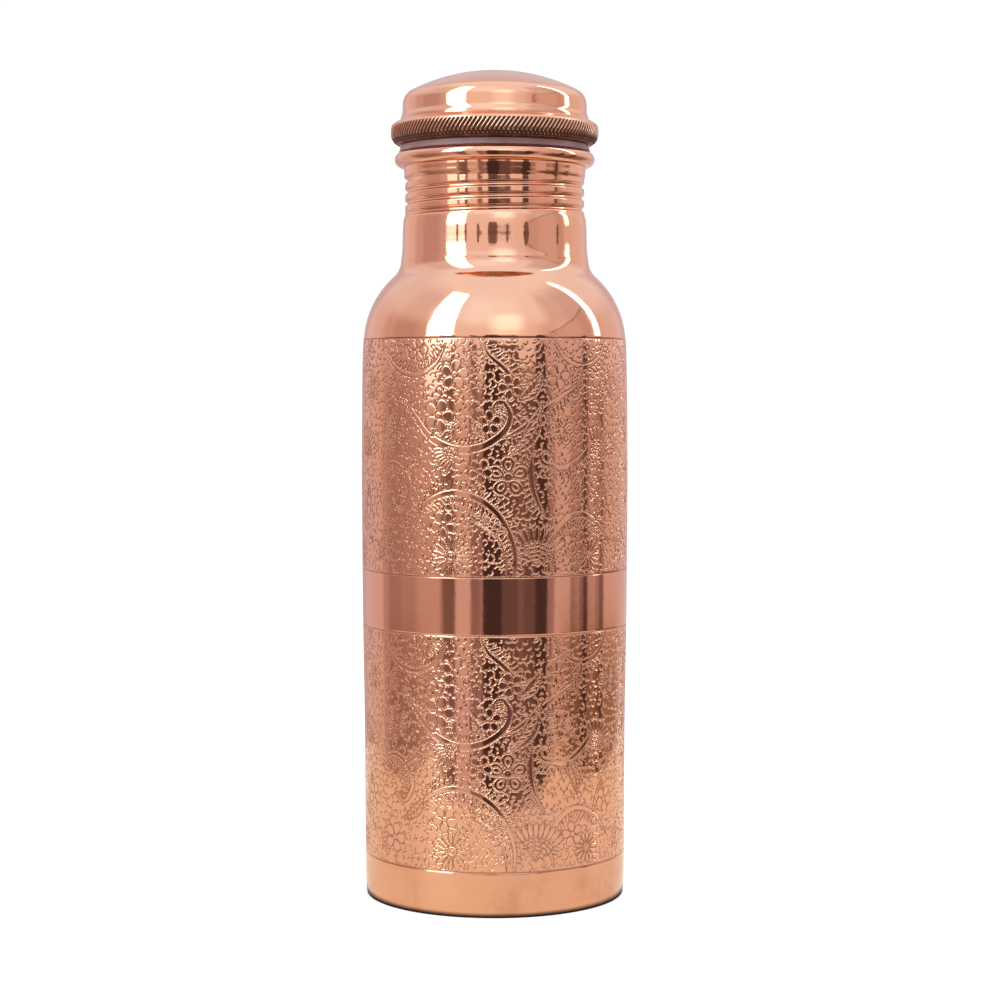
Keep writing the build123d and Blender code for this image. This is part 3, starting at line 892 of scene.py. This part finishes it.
def build_studio():
    """The room that the copper mirrors: soft boxes and pale walls above, a darker room below.
    Azimuth 0 is towards the camera and grows to the right; all angles are degrees."""
    world = bpy.data.worlds.new("studio")
    bpy.context.scene.world = world
    world.use_nodes = True
    s = Shader(world.node_tree)
    way = s.node("ShaderNodeTexCoord").outputs["Generated"]
    split = s.node("ShaderNodeSeparateXYZ", {0: way})
    x, y, z = split.outputs
    azimuth = s.math("MULTIPLY", s.math("ARCTAN2", x, s.math("MULTIPLY", y, -1.0)), 180 / pi)
    rise = s.math("MULTIPLY", s.math("ARCSINE", z), 180 / pi)

    def around(*values):
        """Brightness by azimuth, as steps: each value holds from its azimuth to the next one's."""
        halves = []
        for low, high in ((-180, 0), (0, 180)):
            points, level = [], [light for a, light, soft in values if a <= low][-1]
            points.append((low, level))
            for a, light, soft in values:
                if low < a < high:
                    points += [(a - soft, level), (a + soft, light)]
                    level = light
            points.append((high, level))
            ramp = s.node("ShaderNodeValToRGB", {0: s.span(azimuth, low, high, smooth_ends=False)})
            stops(ramp, points, low, high)
            halves.append(ramp.outputs[0])
        return s.mix(s.math("GREATER_THAN", azimuth, 0.0), *halves)

    low = around(                            # azimuth of its left edge, brightness, the edge's half width
        (-180, 0.62, 1), (-150, 0.80, 6), (-112, 0.58, 1.5), (-104, 0.45, 2), (-88, 0.52, 3), (-70, 0.66, 4),
        (-46, 0.24, 2.5), (-34, 0.76, 1.2), (-20.5, 0.33, 0.8), (-13, 0.42, 0.6), (-10, 0.07, 0.8),
        (0, 0.07, 1), (6, 0.17, 1.2), (20, 0.24, 1), (25, 0.18, 1), (35, 0.08, 1), (46, 0.42, 1),
        (52.5, 0.77, 1.4), (68, 0.45, 1), (73, 0.52, 1), (78, 0.33, 1), (82, 0.13, 0.8), (87, 0.62, 1),
        (97, 0.46, 1), (102, 0.26, 0.8), (108, 0.76, 1.5),
    )
    middle = around(
        (-180, 0.70, 1), (-150, 0.90, 6), (-116, 0.76, 4), (-100, 0.66, 3), (-72, 0.78, 4), (-62, 1.6, 1),
        (-37, 1.08, 1), (0, 1.12, 1), (20, 1.02, 6), (40, 0.88, 4), (56, 0.96, 3), (84, 0.85, 3),
        (110, 0.92, 3), (150, 0.72, 6),
    )
    upper = around(
        (-180, 0.80, 1), (-150, 0.98, 8), (-100, 0.90, 8), (-64, 1.12, 6), (-30, 1.22, 6), (0, 1.18, 1),
        (24, 1.10, 8), (50, 0.86, 6), (72, 0.80, 3), (100, 1.05, 3), (150, 0.80, 8),
    )
    tall = around(                           # how high the dark furniture stands, from 0 to 1
        (-180, 0.0, 1), (-48.5, 0.75, 0.4), (-45.5, 0.22, 0.4), (-37.5, 0.78, 0.4), (-34.5, 0.07, 0.4),
        (-22, 0.8, 0.4), (-19, 0.5, 0.4), (-15, 0.07, 0.4), (-8, 1.0, 0.5), (0, 1.0, 1), (3, 0.5, 0.5),
        (14.3, 0.8, 0.4), (17.1, 0.5, 0.4), (20.5, 0.12, 0.6), (35.5, 0.55, 0.4), (37, 1.0, 0.5),
        (42, 0.5, 0.5), (44, 0.07, 0.5), (81, 0.4, 0.4), (83.3, 0.75, 0.4), (86, 0.4, 0.4), (91, 0.0, 0.4),
    )
    skyline = s.math("MULTIPLY_ADD", tall, 9.0, 1.0)     # 1 to 10 degrees above the horizon
    above = s.math("SUBTRACT", rise, skyline)
    hidden = s.span(above, -0.5, 0.5, 1.0, 0.0)
    light = s.mix(s.span(rise, 16.0, 30.0), middle, upper)
    light = s.mix(s.span(rise, 46.0, 68.0), light, (1.13, 1.13, 1.13, 1))

    def box_mask(left, right, bottom, top, side, edge):
        inside = s.math("MULTIPLY", s.span(azimuth, left - side, left + side),
                        s.span(azimuth, right - side, right + side, 1.0, 0.0))
        height = s.math("MULTIPLY", s.span(rise, bottom - edge, bottom + edge),
                        s.span(rise, top - edge, top + edge, 1.0, 0.0))
        return s.math("MULTIPLY", inside, height)

    boxes = [            # left, right, bottom, top, brightness, half widths of the soft edges, side and end
        (-62.0, -37.0, 7.2, 60.0, 4.5, 1.2, 1.3),        # key soft box
        (-1.0, 24.0, 15.0, 34.0, 1.55, 9.0, 6.0),        # window over the camera
        (99.0, 106.0, 7.0, 60.0, 4.5, 1.2, 1.5),         # strip light on the right
    ]
    for left, right, bottom, top, strength, side, end in boxes:
        light = s.mix(box_mask(left, right, bottom, top, side, end), light, (strength, strength, strength, 1))
    # on the right a slanting cornice, with a slightly darker wall under it
    cornice = s.math("MULTIPLY_ADD", s.math("SUBTRACT", azimuth, 42.0), 0.43, 9.0)
    seam = s.span(s.math("ABSOLUTE", s.math("SUBTRACT", rise, cornice)), 0.4, 1.4, 0.66, 1.0)
    wall = s.span(s.math("SUBTRACT", rise, cornice), -1.0, 1.0, 0.84, 1.0)
    in_view = s.math("MULTIPLY", s.span(azimuth, 38.0, 43.0), s.span(azimuth, 92.0, 98.0, 1.0, 0.0))
    light = s.mix(in_view, light, s.math("MULTIPLY", s.math("MULTIPLY", light, seam), wall))
    silhouette = s.mix(s.span(rise, 3.5, 6.5), low, (0.26, 0.26, 0.26, 1))
    light = s.mix(hidden, light, silhouette)
    # well below the horizon the floor is darker to the right and to the left
    deep = s.span(rise, -10.0, -5.0, 1.0, 0.0)
    right = s.math("MULTIPLY", s.span(azimuth, 50.0, 66.0), s.span(azimuth, 125.0, 145.0, 1.0, 0.0))
    left = s.math("MULTIPLY", s.span(azimuth, -75.0, -40.0, 1.0, 0.0), s.span(azimuth, -120.0, -95.0))
    sides = s.math("ADD", s.math("MULTIPLY", right, 0.6), s.math("MULTIPLY", left, 0.25))
    carpet = s.math("MULTIPLY", deep, sides)
    light = s.math("MULTIPLY", light, s.math("SUBTRACT", 1.0, carpet))
    # dim parts of the room are warm, bright ones are not
    cool = s.math("MULTIPLY_ADD", s.math("MULTIPLY", light, light), 0.27, 0.72)
    cool = s.math("MINIMUM", cool, 1.25)
    green = s.math("MULTIPLY", s.math("MULTIPLY", light, cool), s.span(rise, 10.0, 40.0, 1.0, 1.14))
    blue = s.math("MULTIPLY", s.math("MULTIPLY", light, cool), s.span(rise, 10.0, 40.0, 1.02, 1.28))
    blue = s.math("MULTIPLY", blue, s.math("SUBTRACT", 1.0, s.math("MULTIPLY", carpet, 0.5)))
    room = s.node("ShaderNodeCombineColor", {0: light, 1: green, 2: blue}).outputs[0]
    seen = s.node("ShaderNodeLightPath").outputs["Is Camera Ray"]
    shown = s.mix(seen, room, (1.0, 1.0, 1.0, 1))
    background = s.node("ShaderNodeBackground", {"Color": shown, "Strength": 1.0})
    output = s.node("ShaderNodeOutputWorld")
    s.tree.links.new(background.outputs[0], output.inputs[0])


def build_lights():
    """A broad soft light from above, for the table."""
    light = bpy.data.lights.new("overhead", "AREA")
    light.shape = "DISK"
    light.size = 1.6
    light.energy = 9.0
    lamp = bpy.data.objects.new("overhead", light)
    lamp.location = (0.0, -0.2, 1.5)
    lamp.visible_glossy = False
    bpy.context.scene.collection.objects.link(lamp)


def build_camera():
    """A little above the bottle's middle, 0.63 m away, tilted slightly down."""
    lens = bpy.data.cameras.new("camera")
    lens.sensor_width = 36.0
    lens.lens = 83.2                         # focal length, mm
    lens.clip_start = 0.01
    camera = bpy.data.objects.new("camera", lens)
    camera.location = (0.00145, -0.634, 0.1410)
    camera.rotation_euler = (radians(90 - 2.99), 0, 0)
    bpy.context.scene.collection.objects.link(camera)
    bpy.context.scene.camera = camera


build_table()
build_studio()
build_lights()
build_camera()
bpy.context.scene.view_settings.view_transform = "Standard"
bpy.context.scene.view_settings.look = "None"
